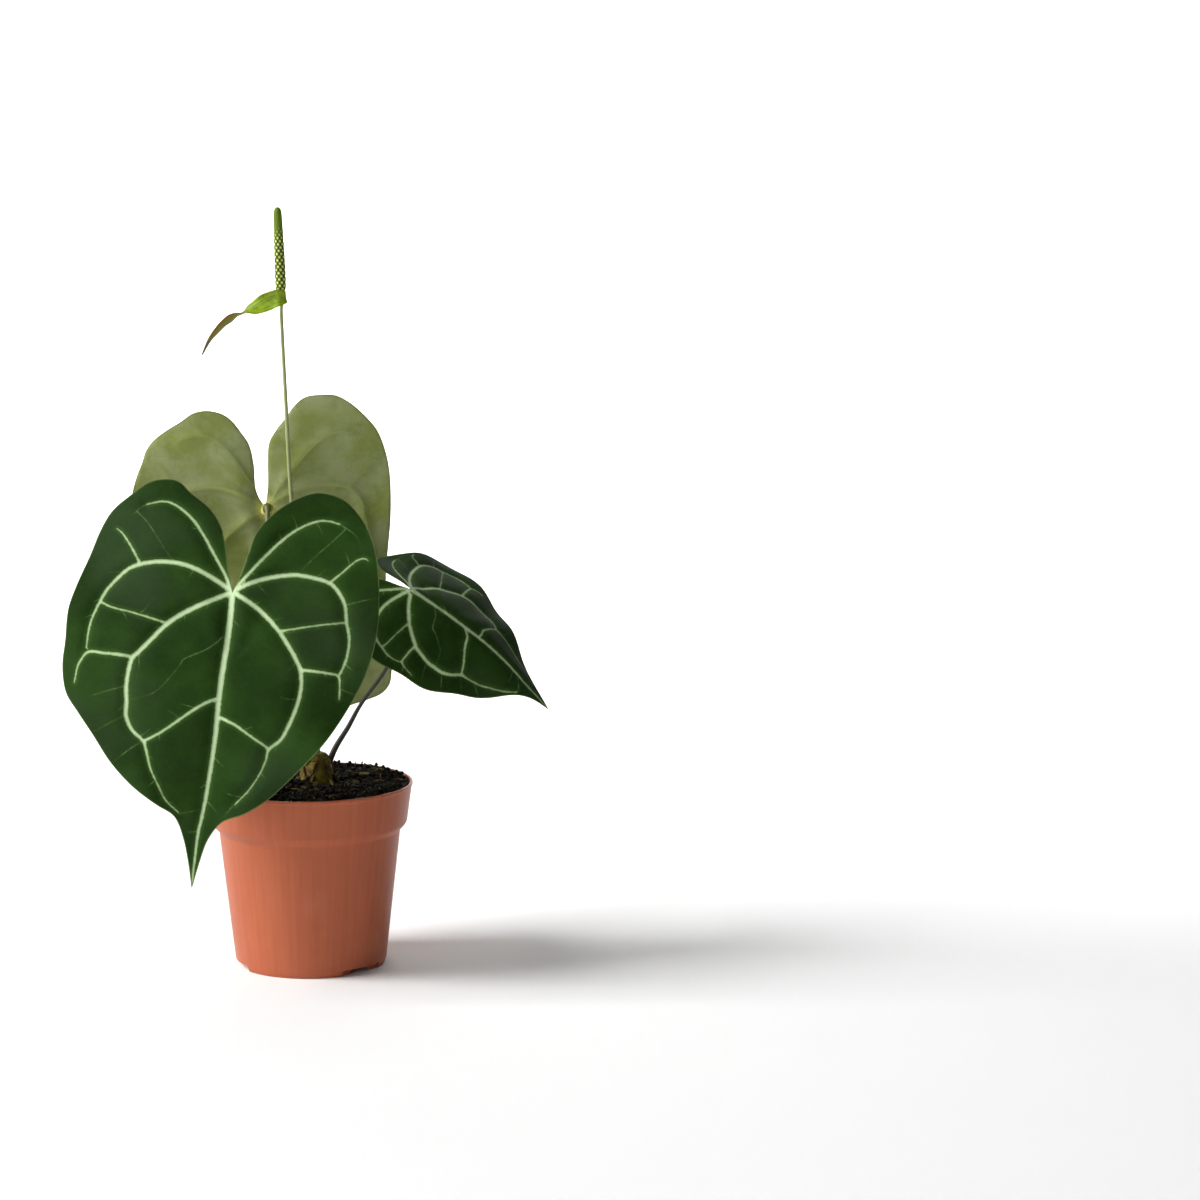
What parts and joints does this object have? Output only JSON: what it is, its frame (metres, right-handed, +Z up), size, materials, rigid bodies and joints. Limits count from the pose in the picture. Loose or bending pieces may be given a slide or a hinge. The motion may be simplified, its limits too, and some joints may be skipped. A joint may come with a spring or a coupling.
{
  "type": "anthurium clarinervium in a nursery pot",
  "caption": "Potted aroid house plant: velvety heart-shaped leaves with pale veins on thin stalks and one flower spike, in a tapered plastic pot filled with mix.",
  "frame": {"origin": "centre of the underside of the pot, on the surface it stands on", "axes": "+Z up; -Y is the front, the side that the large front leaf faces; +X to the right seen from the front"},
  "size_m": [0.2713, 0.1547, 0.4394],
  "materials": {
    "pot": "satin terracotta coloured plastic",
    "mix": "dark crumbly potting mix",
    "stem": "rough olive brown",
    "stalk": "smooth dark grey green",
    "leaf": "velvety dark green with pale veins, olive underside",
    "spathe": "satin yellow green",
    "spadix": "fine green florets"
  },
  "bodies": {
    "root": {"pot": "pot", "potting_mix": "mix", "stem": "stem", "stalk_front": "stalk", "stalk_back": "stalk", "stalk_side": "stalk", "flower_stalk": "stalk", "leaf_front": "leaf", "leaf_back": "leaf", "leaf_side": "leaf", "spathe": "spathe", "spadix": "spadix"}
  },
  "joints": []
}
